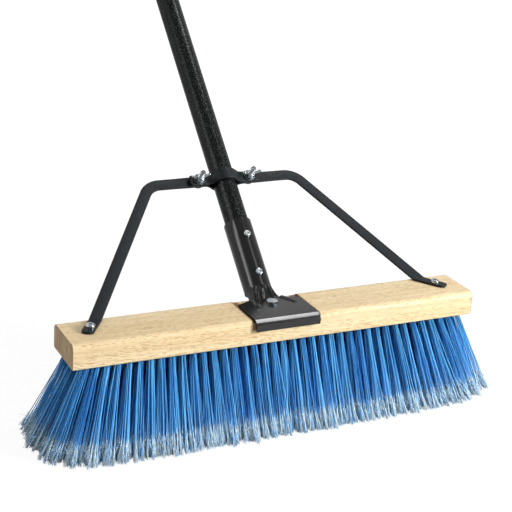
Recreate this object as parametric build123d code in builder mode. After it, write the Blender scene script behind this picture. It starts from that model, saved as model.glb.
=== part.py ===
"""Push broom: wooden block with bristle rows, bolted handle socket, steel handle and clamped steel brace.

Millimetres. The origin is on the floor under the middle of the block. X runs along the block, -Y is the
sweeping front, and Z is up. The handle leans back towards +Y.
"""

import os
from math import atan2, cos, degrees, pi, radians, sin, sqrt, tan

from build123d import *

os.makedirs("parts", exist_ok=True)

# Driving dimensions of the block
block_length = 457.0
block_width = 59.0
block_height = 26.0
block_top_round = 6.0
block_bottom_round = 1.5

# Driving dimensions of the bristles
bristle_trim = 90.0
row_count = 5
row_pitch = 10.0
tufts_in_long_row = 39
tuft_pitch = 11.2
tuft_hole_diameter = 7.0
tuft_hole_depth = 7.0
tuft_root_length = 4.5
tuft_fit = 0.2
backing_thickness = 3.0
backing_margin = 5.5
sections_in_row = 3
section_gap = 0.6
strand_root_width = 2.7
strand_tip_width = 3.6
strand_overlap = 1.0
flat_cut = 0.5
front_flare = 2.25
end_flare = 52.0
end_flare_drop = 6.0
end_flare_power = 3
corner_tuck = 1.5
corner_tuck_power = 12

# Driving dimensions of the staples that hold the tufts
staple_length = 8.0
staple_height = 2.2
staple_thickness = 0.8
staple_gap = 0.1

# Driving dimensions of the handle
handle_angle = 42.5
handle_back = 38.5
handle_diameter = 25.8
handle_wall = 1.0
handle_length = 1524.0
handle_start = 6.0

# Driving dimensions of the end cap
cap_length = 25.0
cap_fit = 0.15
cap_recess = 0.6
cap_edge_round = 1.5

# Driving dimensions of the socket
socket_start = 1.5
socket_length = 83.0
socket_wall = 1.9
socket_fit = 0.2
neck_start = 4.0
neck_width = 40.0
plate_width = 73.0
plate_thickness = 2.0
plate_rear = 19.0
plate_shoulder = 12.5
lip_depth = 9.5
lip_outer_round = 5.0
lip_gap = 0.3
recess_width = 75.5
recess_depth = 2.5

# Driving dimensions of the bolt and screws
lag_back = 7.0
lag_diameter = 6.35
lag_length = 15.0
lag_head_flats = 11.1
lag_head_height = 4.8
lag_head_chamfer = 0.6
lag_head_turn = 21.0
socket_screw_stations = (18.0, 64.0)
socket_screw_diameter = 4.2
socket_screw_length = 10.0
socket_screw_head_diameter = 7.6
socket_screw_head_height = 2.6
foot_screw_diameter = 4.8
foot_screw_length = 15.5
foot_screw_head_diameter = 9.8
foot_screw_head_height = 3.2
cross_slot_length = 4.4
cross_slot_width = 1.1
cross_slot_depth = 1.5
screw_fit = 0.1

# Driving dimensions of the brace
strip_width = 12.5
strip_thickness = 2.5
clamp_station = 140.6
clamp_face = -0.6
clamp_gap = 1.6
clamp_fit = 0.2
clamp_slope = radians(42.0)
clamp_bend = 8.8
saddle_half = 40.0
strap_half = 41.0
strap_end_round = 3.0
twist_end = 62.0
corner_reach = 87.8
corner_round = 22.0
corner_steps = 10
foot_reach = 189.6
foot_back = 20.0
foot_fold_round = 4.0
foot_fold_steps = 6
tab_length = 32.5
tab_hole = 19.0
tab_end_round = 4.5

# Driving dimensions of the clamp bolts, washers and wing nuts
bolt_reach = 30.3
bolt_diameter = 6.25
bolt_fit = 0.05
bolt_hole_gap = 0.25
bolt_end_above_washer = 15.5
bolt_neck_width = 6.3
bolt_neck_height = 2.2
bolt_neck_gap = 0.15
bolt_head_diameter = 14.0
bolt_head_height = 3.4
bolt_head_rim = 0.4
washer_diameter = 13.0
washer_thickness = 1.2
nut_base_diameter = 9.6
nut_top_diameter = 8.2
nut_height = 5.0
wing_reach = 11.4
wing_rise = 10.4
wing_thickness = 2.2
wing_root_height = 1.6
wing_tip_height = 4.0
wing_tip_slant = 2.2
wing_tip_round = 1.6

# Levels and places that follow from the driving dimensions
block_bottom = bristle_trim
block_top = block_bottom + block_height
recess_floor = block_top - recess_depth
plate_top = recess_floor + plate_thickness
plate_front = -block_width / 2 - lip_gap - plate_thickness
backing_top = block_bottom + backing_thickness
handle_radius = handle_diameter / 2
handle_end = handle_start + handle_length
socket_bore_radius = handle_radius + socket_fit
socket_radius = socket_bore_radius + socket_wall
socket_end = socket_start + socket_length
lean_cos = cos(radians(handle_angle))
lean_sin = sin(radians(handle_angle))
half_row = (tufts_in_long_row - 1) / 2 * tuft_pitch
backing_half_length = half_row + backing_margin
pocket_half_width = row_count / 2 * row_pitch + tuft_fit
strap_face = clamp_face + clamp_gap
washer_face = strap_face + strip_thickness
nut_face = washer_face + washer_thickness
saddle_bore = handle_radius + clamp_fit
saddle_outside = saddle_bore + strip_thickness
big = 4 * block_height


def handle_point(station, proud=0.0, side=0.0):
    """Point at a distance up the handle's axis, standing proud towards the front, and off to one side."""
    return (
        side,
        handle_back + station * lean_cos - proud * lean_sin,
        block_top + station * lean_sin + proud * lean_cos,
    )


def across_handle(station, proud=0.0, side=0.0):
    """Plane square to the handle: its Y points out of the handle's front and its Z up the handle."""
    return Plane(
        origin=handle_point(station, proud, side),
        x_dir=(-1, 0, 0),
        z_dir=(0, lean_cos, lean_sin),
    )


def out_of_handle(station, proud=0.0, side=0.0):
    """Plane along the handle whose Z points out of the handle's front, as the screws and bolts do."""
    return Plane(
        origin=handle_point(station, proud, side),
        x_dir=(1, 0, 0),
        z_dir=(0, -lean_sin, lean_cos),
    )


def row_place(row):
    """Place of a row across the block, from the front row to the back row."""
    return (row - (row_count - 1) / 2) * row_pitch


def tuft_places(row):
    """Places of a row's tufts along the block; every other row is set half a pitch over."""
    count = tufts_in_long_row - row % 2
    return [(i - (count - 1) / 2) * tuft_pitch for i in range(count)]


def tip_place(x, y):
    """Where a strand that leaves the block at x, y meets the floor, fanned out to front, back and ends."""
    share = abs(x) / half_row
    spread = 1 + front_flare - corner_tuck * share**corner_tuck_power
    lean = (end_flare - end_flare_drop * (y / row_place(0)) ** 2) * share**end_flare_power
    return (x + lean * (1 if x > 0 else -1), y * spread)


# The brace lies in one slope, from the fold line of its feet up to the clamp on the handle
foot_level = block_top + strip_thickness / 2
_, clamp_back, clamp_level = handle_point(clamp_station, clamp_face - strip_thickness / 2)
slope = atan2(clamp_level - foot_level, clamp_back - foot_back)
slope_length = sqrt((clamp_level - foot_level) ** 2 + (clamp_back - foot_back) ** 2)
up_slope = Vector(0, cos(slope), sin(slope))
arm_angle = atan2(foot_reach - corner_reach, slope_length)
corner_turn = pi / 2 - arm_angle
along_tab = Vector(sin(arm_angle), -cos(arm_angle), 0)
foot_screw_place = (foot_reach + tab_hole * along_tab.X, foot_back + tab_hole * along_tab.Y)


# Block: rounded long edges, a recess across the top, pockets for the bristle rows and holes for the screws
with BuildPart() as block:
    with BuildSketch(Plane.XY.offset(block_bottom)):
        Rectangle(block_length, block_width)
    extrude(amount=block_height)
    fillet(block.edges().filter_by(Axis.X).group_by(Axis.Z)[-1], block_top_round)
    fillet(block.edges().filter_by(Axis.X).group_by(Axis.Z)[0], block_bottom_round)
    with BuildSketch(Plane.YZ):
        with Locations((0, block_top)):
            Rectangle(block_width + big, 2 * (block_height - block_bottom_round))
        with BuildSketch(mode=Mode.SUBTRACT):
            with Locations((block_width / 2, recess_floor - block_height / 2)):
                floor_section = Rectangle(2 * block_width, block_height)
            fillet(floor_section.vertices().group_by(Axis.X)[0].sort_by(Axis.Y)[-1], block_top_round)
    extrude(amount=recess_width / 2, both=True, mode=Mode.SUBTRACT)
    with BuildSketch(Plane.XY.offset(block_bottom)):
        Rectangle(2 * (backing_half_length + tuft_fit), 2 * pocket_half_width)
    extrude(amount=backing_thickness, mode=Mode.SUBTRACT)
    with BuildSketch(Plane.XY.offset(backing_top)):
        for row in range(row_count):
            with Locations(*[(x, row_place(row)) for x in tuft_places(row)]):
                Circle(tuft_hole_diameter / 2)
    extrude(amount=tuft_hole_depth, mode=Mode.SUBTRACT)
    with BuildSketch(Plane.XY.offset(recess_floor)):
        with Locations((0, lag_back)):
            Circle(lag_diameter / 2 + screw_fit)
    extrude(amount=plate_thickness - lag_length - screw_fit, mode=Mode.SUBTRACT)
    with BuildSketch(Plane.XY.offset(block_top)):
        with Locations(*[(side * foot_screw_place[0], foot_screw_place[1]) for side in (-1, 1)]):
            Circle(foot_screw_diameter / 2 + screw_fit)
    extrude(amount=strip_thickness - foot_screw_length - screw_fit, mode=Mode.SUBTRACT)
block.part.label = "block"
export_step(block.part, "parts/block.step")


def strand(x, y):
    """One four-sided strand, straight from its place in the backing to its place on the floor."""
    tip_x, tip_y = tip_place(x, y)
    rise = strand_overlap / bristle_trim
    fall = flat_cut / bristle_trim
    root = Pos(x + (x - tip_x) * rise, y + (y - tip_y) * rise, block_bottom + strand_overlap)
    tip = Pos(tip_x + (tip_x - x) * fall, tip_y + (tip_y - y) * fall, -flat_cut)
    sections = [
        root * Rectangle(strand_root_width, strand_root_width),
        tip * Rectangle(strand_tip_width, strand_tip_width),
    ]
    return loft(sections, ruled=True)


# Bristle rows: slices of backing in three sections, with the tufts' roots above and the strands below them
for row in range(row_count):
    places = tuft_places(row)
    between = [(left + right) / 2 for left, right in zip(places, places[1:])]
    cuts = [between[round(len(places) * i / sections_in_row) - 1] for i in range(1, sections_in_row)]
    strands = [strand(x, row_place(row)) for x in places + between if x not in cuts]
    with BuildPart() as bristle_row:
        with BuildSketch(Plane.XY.offset(block_bottom)):
            with Locations((0, row_place(row))):
                Rectangle(2 * backing_half_length, row_pitch - tuft_fit)
            with Locations(*[(x, row_place(row)) for x in cuts]):
                Rectangle(section_gap, row_pitch, mode=Mode.SUBTRACT)
        extrude(amount=backing_thickness)
        with BuildSketch(Plane.XY.offset(backing_top)):
            with Locations(*[(x, row_place(row)) for x in places]):
                Circle(tuft_hole_diameter / 2 - tuft_fit)
        extrude(amount=tuft_root_length)
        add(strands)
        split(bisect_by=Plane.XY, keep=Keep.TOP)
    name = f"bristle_row_{row + 1}"
    bristle_row.part.label = name
    export_step(bristle_row.part, f"parts/{name}.step")

# Tuft staples: flat wire driven across the top of each tuft's root, biting into the hole's wall
with BuildPart() as tuft_staples:
    with BuildSketch(Plane.XY.offset(backing_top + tuft_root_length + staple_gap)):
        for row in range(row_count):
            with Locations(*[(x, row_place(row)) for x in tuft_places(row)]):
                Rectangle(staple_length, staple_thickness)
    extrude(amount=staple_height)
tuft_staples.part.label = "tuft_staples"
export_step(tuft_staples.part, "parts/tuft_staples.step")

# Socket: a steel plate with a front lip, a neck that rolls up out of the plate, and a round socket
with BuildPart() as socket:
    with BuildSketch(Plane.YZ):
        with BuildLine():
            Polyline(
                (plate_rear, recess_floor),
                (plate_rear, plate_top),
                (plate_front, plate_top),
                (plate_front, plate_top - lip_depth),
                (plate_front + plate_thickness, plate_top - lip_depth),
                (plate_front + plate_thickness, recess_floor),
                close=True,
            )
        lip_section = make_face()
        lip_corners = lip_section.vertices().group_by(Axis.Y)
        fillet(lip_corners[-1].sort_by(Axis.X)[0], lip_outer_round)
        fillet(lip_corners[-2].sort_by(Axis.X)[0], lip_outer_round - plate_thickness)
    extrude(amount=plate_width / 2, both=True)
    with BuildSketch(Plane.XY.offset(recess_floor)):
        with BuildLine():
            Polyline(
                (neck_width / 2, plate_rear),
                (plate_width / 2, plate_rear),
                (plate_width / 2, plate_shoulder),
                close=True,
            )
        make_face()
        mirror(about=Plane.YZ)
    extrude(amount=plate_thickness, mode=Mode.SUBTRACT)
    with BuildSketch(across_handle(neck_start)):
        Circle(socket_radius)
        Circle(socket_bore_radius, mode=Mode.SUBTRACT)
    extrude(amount=socket_end - neck_start)
    with BuildSketch(across_handle(neck_start)):
        Circle(socket_radius)
        Circle(socket_bore_radius, mode=Mode.SUBTRACT)
        with Locations((0, big / 2)):
            Rectangle(big, big, mode=Mode.SUBTRACT)
    extrude(amount=socket_start - neck_start)
    with BuildSketch(across_handle(neck_start)):
        Circle(socket_radius)
        Circle(socket_bore_radius, mode=Mode.SUBTRACT)
        with Locations((0, -big / 2)):
            Rectangle(big, big, mode=Mode.SUBTRACT)
    neck_foot = (0, plate_rear, recess_floor + plate_thickness / 2)
    with BuildSketch(Plane(origin=neck_foot, x_dir=(-1, 0, 0), z_dir=(0, 1, 0))):
        Rectangle(neck_width, plate_thickness)
    loft()
    with BuildSketch(Plane.XY.offset(recess_floor)):
        with Locations((0, lag_back)):
            Circle(lag_diameter / 2 + screw_fit)
    extrude(amount=plate_thickness, mode=Mode.SUBTRACT)
    for station in socket_screw_stations:
        with BuildSketch(out_of_handle(station)):
            Circle(socket_screw_diameter / 2 + screw_fit)
        extrude(amount=socket_radius, mode=Mode.SUBTRACT)
socket.part.label = "socket"
export_step(socket.part, "parts/socket.step")

# Lag bolt: hex head on the plate, shank into the block
with BuildPart() as plate_lag_bolt:
    with BuildSketch(Plane.XY.offset(plate_top)):
        with Locations((0, lag_back)):
            RegularPolygon(lag_head_flats / 2, 6, major_radius=False, rotation=lag_head_turn)
    extrude(amount=lag_head_height)
    chamfer(plate_lag_bolt.faces().sort_by(Axis.Z)[-1].edges(), lag_head_chamfer)
    with BuildSketch(Plane.XY.offset(plate_top)):
        with Locations((0, lag_back)):
            Circle(lag_diameter / 2)
    extrude(amount=-lag_length)
plate_lag_bolt.part.label = "plate_lag_bolt"
export_step(plate_lag_bolt.part, "parts/plate_lag_bolt.step")


def pan_screw(seat, head_diameter, head_height, diameter, length):
    """A pan-head screw with a cross slot, seated on a plane whose Z points out of the head."""
    with BuildPart() as screw:
        with BuildSketch(seat):
            Circle(head_diameter / 2)
        extrude(amount=head_height)
        top = screw.faces().sort_by(Axis(seat.origin, seat.z_dir))[-1]
        fillet(top.edges(), head_height / 2)
        with BuildSketch(seat):
            Circle(diameter / 2)
        extrude(amount=-length)
        with BuildSketch(seat.offset(head_height)):
            Rectangle(cross_slot_length, cross_slot_width)
            Rectangle(cross_slot_width, cross_slot_length)
        extrude(amount=-cross_slot_depth, mode=Mode.SUBTRACT)
    return screw.part


# Socket screws: through the socket and into the handle, one above the other
socket_screws = Compound(
    children=[
        pan_screw(
            out_of_handle(station, socket_radius),
            socket_screw_head_diameter,
            socket_screw_head_height,
            socket_screw_diameter,
            socket_screw_length,
        )
        for station in socket_screw_stations
    ]
)
socket_screws.label = "socket_screws"
export_step(socket_screws, "parts/socket_screws.step")

# Handle: a steel tube, drilled at the socket for its two screws
with BuildPart() as handle_tube:
    with BuildSketch(across_handle(handle_start)):
        Circle(handle_radius)
        Circle(handle_radius - handle_wall, mode=Mode.SUBTRACT)
    extrude(amount=handle_length)
    for station in socket_screw_stations:
        with BuildSketch(out_of_handle(station)):
            Circle(socket_screw_diameter / 2 + screw_fit)
        extrude(amount=handle_radius, mode=Mode.SUBTRACT)
handle_tube.part.label = "handle_tube"
export_step(handle_tube.part, "parts/handle_tube.step")

# End cap: a plug pushed into the tube's upper end until its face is just inside the rim
with BuildPart() as handle_end_cap:
    with BuildSketch(across_handle(handle_end - cap_recess)):
        Circle(handle_radius - handle_wall - cap_fit)
    extrude(amount=-cap_length)
    fillet(handle_end_cap.edges().sort_by(Axis(handle_point(0), (0, lean_cos, lean_sin)))[-1], cap_edge_round)
handle_end_cap.part.label = "handle_end_cap"
export_step(handle_end_cap.part, "parts/handle_end_cap.step")


def clamp_outline(face, half):
    """Corners of a clamp strip's section: flat ears outwards from a face, and legs sloping up to a peak."""
    outline = []
    for level, radius in ((face, saddle_bore), (face + strip_thickness, saddle_outside)):
        corner = (radius - level * cos(clamp_slope)) / sin(clamp_slope)
        peak = radius / cos(clamp_slope)
        outline.append([(-half, level), (-corner, level), (0, peak), (corner, level), (half, level)])
    return outline[0] + outline[1][::-1]


def slope_point(x, up):
    """Point of the brace's middle surface: x along the block, and a distance up the slope from the feet."""
    return Vector(x, foot_back, foot_level) + up_slope * up


# Brace bow: flat strip from a saddle behind the handle, twisted flat, bent edgewise, and folded at the foot
corner_start = corner_reach - corner_round * tan(corner_turn / 2)
fold_run = foot_fold_round * tan(slope / 2)
fold_width = strip_width / cos(arm_angle)
fold_centre = slope_point(0, fold_run) + Vector(0, -sin(slope), cos(slope)) * foot_fold_round
tab_tip = Vector(foot_reach, foot_back, foot_level) + along_tab * tab_length
clamp_origin = handle_point(clamp_station, clamp_face - strip_thickness / 2, saddle_half)
behind_handle = Plane(origin=handle_point(clamp_station), x_dir=(1, 0, 0), z_dir=(0, lean_cos, lean_sin))
strip_planes = [
    Plane(origin=clamp_origin, x_dir=(0, lean_cos, lean_sin), z_dir=(1, 0, 0)),
    Plane(origin=slope_point(twist_end, slope_length), x_dir=up_slope, z_dir=(1, 0, 0)),
]
for step in range(corner_steps + 1):
    turn = corner_turn * step / corner_steps
    outward = Vector(sin(turn), 0, 0) + up_slope * cos(turn)
    onward = Vector(cos(turn), 0, 0) - up_slope * sin(turn)
    middle = slope_point(corner_start, slope_length - corner_round) + outward * corner_round
    strip_planes.append(Plane(origin=middle, x_dir=outward, z_dir=onward))
fold_planes = []
for step in range(foot_fold_steps + 1):
    fold = slope * step / foot_fold_steps
    outward = Vector(0, -sin(slope - fold), cos(slope - fold))
    reach = foot_reach + fold_run * tan(arm_angle) * (2 * step / foot_fold_steps - 1)
    middle = Vector(reach, 0, 0) + fold_centre - outward * foot_fold_round
    fold_planes.append(Plane(origin=middle, x_dir=(1, 0, 0), z_dir=Vector(1, 0, 0).cross(outward)))
tab_plane = Plane(origin=tab_tip, x_dir=(cos(arm_angle), sin(arm_angle), 0), z_dir=along_tab)
with BuildPart() as brace_bow:
    for plane in strip_planes:
        with BuildSketch(plane):
            Rectangle(strip_width, strip_thickness)
    for plane in fold_planes:
        with BuildSketch(plane):
            Rectangle(fold_width, strip_thickness)
    with BuildSketch(tab_plane):
        Rectangle(strip_width, strip_thickness)
    loft(ruled=True)
    tip_edges = brace_bow.edges().filter_by(Axis.Z).sort_by(Axis(tab_tip, along_tab))[-2:]
    fillet(tip_edges, tab_end_round)
    with BuildSketch(Plane.XY.offset(block_top)):
        with Locations(foot_screw_place):
            Circle(foot_screw_diameter / 2 + screw_fit)
    extrude(amount=strip_thickness, mode=Mode.SUBTRACT)
    mirror(about=Plane.YZ)
    with BuildSketch(behind_handle) as saddle:
        Polygon(*clamp_outline(-clamp_face, saddle_half), align=None)
        saddle_levels = saddle.vertices().group_by(Axis.Y)
        fillet(saddle_levels[0].sort_by(Axis.X)[1:-1], clamp_bend + strip_thickness)
        fillet(saddle_levels[1].sort_by(Axis.X)[1:-1], clamp_bend)
        fillet(saddle_levels[2], saddle_bore)
        fillet(saddle_levels[3], saddle_outside)
    extrude(amount=strip_width / 2, both=True)
    for side in (-1, 1):
        with BuildSketch(out_of_handle(clamp_station, clamp_face - strip_thickness, side * bolt_reach)):
            Rectangle(bolt_neck_width + 2 * bolt_neck_gap, bolt_neck_width + 2 * bolt_neck_gap)
    extrude(amount=strip_thickness, mode=Mode.SUBTRACT)
brace_bow.part.label = "brace_bow"
export_step(brace_bow.part, "parts/brace_bow.step")

# Clamp strap: arched over the front of the handle, with a flat ear for each bolt
with BuildPart() as clamp_strap:
    with BuildSketch(across_handle(clamp_station)) as arch:
        Polygon(*clamp_outline(strap_face, strap_half), align=None)
        arch_levels = arch.vertices().group_by(Axis.Y)
        fillet(arch_levels[0].sort_by(Axis.X)[1:-1], clamp_bend + strip_thickness)
        fillet(arch_levels[1].sort_by(Axis.X)[1:-1], clamp_bend)
        fillet(arch_levels[2], saddle_bore)
        fillet(arch_levels[3], saddle_outside)
    extrude(amount=strip_width / 2, both=True)
    ear_corners = clamp_strap.edges().filter_by(Axis((0, 0, 0), (0, -lean_sin, lean_cos))).group_by(Axis.X)
    fillet(ear_corners[0] + ear_corners[-1], strap_end_round)
    for side in (-1, 1):
        with BuildSketch(out_of_handle(clamp_station, strap_face, side * bolt_reach)):
            Circle(bolt_diameter / 2 + bolt_hole_gap)
    extrude(amount=strip_thickness, mode=Mode.SUBTRACT)
clamp_strap.part.label = "clamp_strap"
export_step(clamp_strap.part, "parts/clamp_strap.step")

# Clamp bolts, washers and wing nuts, one set on each side of the handle
wing_taper = degrees(atan2((nut_base_diameter - nut_top_diameter) / 2, nut_height))
for side, side_name in ((-1, "left"), (1, "right")):
    head_seat = out_of_handle(clamp_station, clamp_face - strip_thickness, side * bolt_reach)
    washer_seat = out_of_handle(clamp_station, washer_face, side * bolt_reach)
    nut_seat = out_of_handle(clamp_station, nut_face, side * bolt_reach)
    outward = nut_seat.z_dir
    wing_dir = Vector(1, 0, 0)
    with BuildPart() as clamp_bolt:
        with BuildSketch(head_seat):
            Circle(bolt_head_diameter / 2)
        extrude(amount=-bolt_head_height)
        crown = clamp_bolt.faces().sort_by(Axis(head_seat.origin, outward))[0]
        fillet(crown.edges(), bolt_head_height - bolt_head_rim)
        with BuildSketch(head_seat):
            Rectangle(bolt_neck_width, bolt_neck_width)
        extrude(amount=bolt_neck_height)
        with BuildSketch(head_seat):
            Circle(bolt_diameter / 2)
        extrude(amount=nut_face + bolt_end_above_washer - clamp_face + strip_thickness)
    clamp_bolt.part.label = f"clamp_bolt_{side_name}"
    export_step(clamp_bolt.part, f"parts/clamp_bolt_{side_name}.step")

    with BuildPart() as washer:
        with BuildSketch(washer_seat):
            Circle(washer_diameter / 2)
            Circle(bolt_diameter / 2 + bolt_fit, mode=Mode.SUBTRACT)
        extrude(amount=washer_thickness)
    washer.part.label = f"wing_nut_washer_{side_name}"
    export_step(washer.part, f"parts/wing_nut_washer_{side_name}.step")

    with BuildPart() as wing_nut:
        with BuildSketch(nut_seat):
            Circle(nut_base_diameter / 2)
        extrude(amount=nut_height, taper=wing_taper)
        with BuildSketch(Plane(origin=nut_seat.origin, x_dir=wing_dir, z_dir=wing_dir.cross(outward))):
            with BuildLine():
                Polyline(
                    (0, wing_root_height),
                    (nut_top_diameter / 2, wing_root_height),
                    (wing_reach, wing_rise - wing_tip_height),
                    (wing_reach - wing_tip_slant, wing_rise),
                    (nut_top_diameter / 2, nut_height),
                    (0, nut_height),
                    close=True,
                )
            wing = make_face()
            fillet(wing.vertices().sort_by(Axis.X)[-2:], wing_tip_round)
            mirror(about=Plane.YZ)
        extrude(amount=wing_thickness / 2, both=True)
        with BuildSketch(nut_seat):
            Circle(bolt_diameter / 2 + bolt_fit)
        extrude(amount=wing_rise, mode=Mode.SUBTRACT)
    wing_nut.part.label = f"wing_nut_{side_name}"
    export_step(wing_nut.part, f"parts/wing_nut_{side_name}.step")

# Foot screws: through the feet of the brace into the block
brace_foot_screws = Compound(
    children=[
        pan_screw(
            Plane(origin=(side * foot_screw_place[0], foot_screw_place[1], block_top + strip_thickness)),
            foot_screw_head_diameter,
            foot_screw_head_height,
            foot_screw_diameter,
            foot_screw_length,
        )
        for side in (-1, 1)
    ]
)
brace_foot_screws.label = "brace_foot_screws"
export_step(brace_foot_screws, "parts/brace_foot_screws.step")
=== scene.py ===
"""The push broom's looks: beech block, flagged blue bristles, black steel socket, handle and brace."""

import bmesh
import bpy
import numpy as np
from mathutils import Matrix


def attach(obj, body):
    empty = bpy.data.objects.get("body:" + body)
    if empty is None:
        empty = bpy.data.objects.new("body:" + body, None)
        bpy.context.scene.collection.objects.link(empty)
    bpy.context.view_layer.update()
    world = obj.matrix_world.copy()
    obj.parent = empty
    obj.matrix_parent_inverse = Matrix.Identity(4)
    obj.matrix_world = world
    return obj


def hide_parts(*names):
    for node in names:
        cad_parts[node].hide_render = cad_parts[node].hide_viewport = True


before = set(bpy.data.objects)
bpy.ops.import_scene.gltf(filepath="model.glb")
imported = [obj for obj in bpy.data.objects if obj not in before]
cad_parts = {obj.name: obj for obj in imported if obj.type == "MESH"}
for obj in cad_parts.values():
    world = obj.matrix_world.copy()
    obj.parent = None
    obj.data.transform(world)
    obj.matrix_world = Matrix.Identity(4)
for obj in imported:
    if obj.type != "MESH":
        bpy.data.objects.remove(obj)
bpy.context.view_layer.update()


# Head block: one length of beech, planed, with its long edges rounded over and its ends left from the saw; the ends'
# brown is partly end grain and partly painted shade.
# A recess is milled across the middle of the top for the socket plate, and the cutter has scorched its walls.


class Wire:
    """A socket of a material's nodes. Sums, products and powers of wires add the Math nodes they stand for."""

    def __init__(self, tree, socket=None):
        self.tree = tree
        self.socket = socket

    def node(self, kind, settings=None, inputs=None, output=0):
        """Adds a node: first its settings, then a value or a wire for each input. Gives one output's wire."""
        made = self.tree.nodes.new("ShaderNode" + kind)
        for name, value in (settings or {}).items():
            setattr(made, name, value)
        for name, value in (inputs or {}).items():
            if isinstance(value, Wire):
                self.tree.links.new(value.socket, made.inputs[name])
            else:
                made.inputs[name].default_value = value
        return Wire(self.tree, made.outputs[output] if made.outputs else None)

    def maths(self, operation, *terms):
        return self.node("Math", {"operation": operation}, dict(enumerate(terms)))

    def __add__(self, other):
        return self.maths("ADD", self, other)

    def __sub__(self, other):
        return self.maths("SUBTRACT", self, other)

    def __rsub__(self, other):
        return self.maths("SUBTRACT", other, self)

    def __mul__(self, other):
        return self.maths("MULTIPLY", self, other)

    def __pow__(self, other):
        return self.maths("POWER", self, other)

    __radd__ = __add__
    __rmul__ = __mul__

    def step(self, low, high):
        """Rises smoothly from 0 at low to 1 at high."""
        return self.node("MapRange", {"interpolation_type": "SMOOTHSTEP"}, {0: self, 1: low, 2: high})

    def blend(self, first, second):
        """The first colour where this wire is 0, the second where it is 1, and a mix between."""
        return self.node("Mix", {"data_type": "RGBA"}, {0: self, 6: first, 7: second}, 2)

    def noise(self, lumps, detail=2.0):
        """Soft noise at this place, with so many lumps to the metre along each axis."""
        spot = self.node("VectorMath", {"operation": "MULTIPLY"}, {0: self, 1: lumps})
        return self.node("TexNoise", {}, {"Vector": spot, "Scale": 1.0, "Detail": detail})

    def relief(self, depth):
        """The normal of a surface that this wire raises by up to depth metres."""
        return self.node("Bump", {}, {"Strength": 1.0, "Distance": depth, "Height": self})

    def surface(self, inputs):
        """Ends the material with one surface that takes these inputs."""
        self.node("OutputMaterial", {}, {"Surface": self.node("BsdfPrincipled", {}, inputs)})


def finish(name):
    """A new material with no nodes but its object coordinates, and the wire of those."""
    material = bpy.data.materials.new(name)
    material.use_nodes = True
    material.node_tree.nodes.clear()
    return material, Wire(material.node_tree).node("TexCoord", output="Object")


def paint(red, green, blue):
    """A colour given out of 255 as a screen shows it, made linear by the usual screen curve."""
    screen = np.array((red, green, blue)) / 255
    linear = np.where(screen > 0.04045, ((screen + 0.055) / 1.055) ** 2.4, screen / 12.92)
    return (*linear.tolist(), 1.0)


def dress(material, *names):
    """Puts a material on CAD nodes that keep their shape."""
    for name in names:
        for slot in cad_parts[name].material_slots:
            slot.material = material


end_edge = (0.2280, 0.2284)
recess_edge, lip_edge, front_edge = (0.1130, 0.1134), (0.1060, 0.1066), (-0.0290, -0.0285)
scorch_near, scorch_far = (0.0300, 0.0310), (0.0390, 0.0396)
heart_y, heart_z, ring_rate, ring_wander, grain_slope = 0.045, 0.020, 1250, 0.012, 0.05
beech_bright, beech_warm = paint(242, 222, 182), paint(231, 205, 159)
ring_brown, thread_brown, fleck_brown = paint(206, 172, 120), paint(208, 170, 112), paint(172, 126, 70)
end_grain_and_shade_brown, scorch_brown = paint(150, 116, 78), paint(124, 76, 38)

beech, place = finish("beech")
x, y, z = (place.node("SeparateXYZ", {}, {0: place}, axis) for axis in "XYZ")
off_middle = place.maths("ABSOLUTE", x)
broad = place.noise((4, 55, 55), 3.0)
from_heart = ((y - heart_y) ** 2 + (z - heart_z) ** 2) ** 0.5 + place.noise((2.5, 14, 14)) * ring_wander
rings = place.maths("SINE", from_heart * ring_rate) * 0.5 + 0.5
lift = place.node("CombineXYZ", {}, {"Z": x * grain_slope})
slant = place.node("VectorMath", {"operation": "ADD"}, {0: place, 1: lift})
fleck = slant.noise((150, 1200, 1200), 1.0).step(0.54, 0.66) * slant.noise((14, 90, 90)).step(0.20, 0.50)
thread = slant.noise((9, 620, 620)).step(0.45, 0.70)
sawn = off_middle.step(*end_edge)
saw_line = place.noise((1, 620, 25))
beside_plate = off_middle.step(*scorch_near) * (1 - off_middle.step(*scorch_far))
on_front = z.step(*lip_edge) * (1 - y.step(*front_edge))
scorched = beside_plate * place.maths("MAXIMUM", z.step(*recess_edge), on_front)
wood = broad.step(0.30, 0.70).blend(beech_bright, beech_warm)
for share, brown in (
    (rings * 0.14, ring_brown),
    (thread * 0.30, thread_brown),
    (fleck * 0.55, fleck_brown),
    # Sawn ends: end-grain brown, made darker still with painted shade.
    (sawn * (saw_line.step(0.30, 0.70) * 0.5 + 0.42), end_grain_and_shade_brown),
    (scorched * 0.80, scorch_brown),
):
    wood = share.blend(wood, brown)
ridge = fleck * -0.5 + sawn * saw_line * 2.0 + rings * 0.10
place.surface({"Base Color": wood, "Roughness": broad * 0.16 + 0.44, "Normal": ridge.relief(0.00012)})
dress(beech, "block")


# Bristle rows: tufts of blue plastic filament, folded over a staple in drilled holes, five rows deep.
# The filaments fan out to the floor, and each is flagged: its last stretch is split into fine pale hairs.
tuft_pitch, row_pitch, end_tuft, block_bottom, root_depth = 11.2, 10.0, 212.8, 90.0, 2.0
tufts_in_long_row, filament_count, hair_count, first_seed = 39, 28, 16, 71
end_lean, corner_lean, row_fan, corner_fan, golden_turn = 43, 5, 2.68, 1.15, 2.39996
root_spread, end_root_spread, tip_half_long, tip_half_deep = 3.3, 1.8, 4.3, 9.6
tuft_scatter_long, tuft_scatter_deep, tuft_spread = 0.9, 1.2, (0.88, 1.12)
tip_scatter, bow_scatter, stray_share, stray_scatter, stray_tone = 1.1, 0.6, 0.05, 3.0, 1.1
upper_ring, lower_ring, flag_height, flag_scatter, flag_fade = 68.0, 44.0, 20.5, 1.6, 5.0
body_lift, body_scatter, filament_radii = 0.3, 1.5, (0.52, 0.52, 0.52, 0.55, 0.62, 0.54)
filament_flag = (0.0, 0.0, 0.0, 0.1, 0.9, 1.0)
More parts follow.
